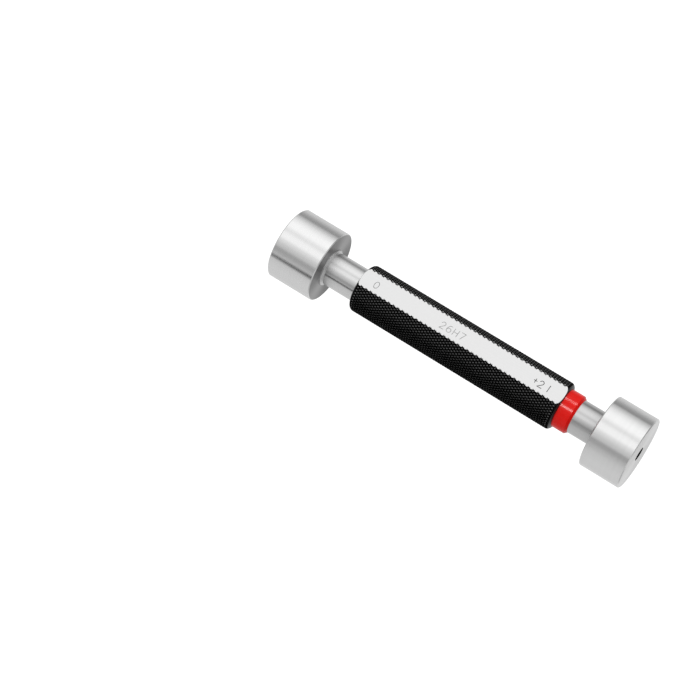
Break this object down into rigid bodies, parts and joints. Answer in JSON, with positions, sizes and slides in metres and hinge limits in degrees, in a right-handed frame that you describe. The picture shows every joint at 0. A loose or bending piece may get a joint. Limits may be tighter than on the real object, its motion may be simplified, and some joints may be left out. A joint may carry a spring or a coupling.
{
  "type": "plug gauge",
  "caption": "Double-ended limit plug gauge for 26 H7 bores: ground go and no-go heads on turned necks in a knurled handle with two flats, red ring on the no-go neck.",
  "frame": {"origin": "centre of the go end face, on which the gauge stands", "axes": "+Z along the gauge from the go end to the no-go end; -Y out of the flat that carries the size marks"},
  "size_m": [0.026, 0.026, 0.14],
  "materials": {
    "go_steel": "cylindrically ground gauge steel, turned neck",
    "no_go_steel": "cylindrically ground gauge steel, turned neck",
    "handle_black": "black diamond knurl, two flats milled bright after blackening",
    "ring_red": "glossy red"
  },
  "bodies": {
    "root": {"go_member": "go_steel", "no_go_member": "no_go_steel", "handle": "handle_black", "no_go_ring": "ring_red"}
  },
  "joints": []
}
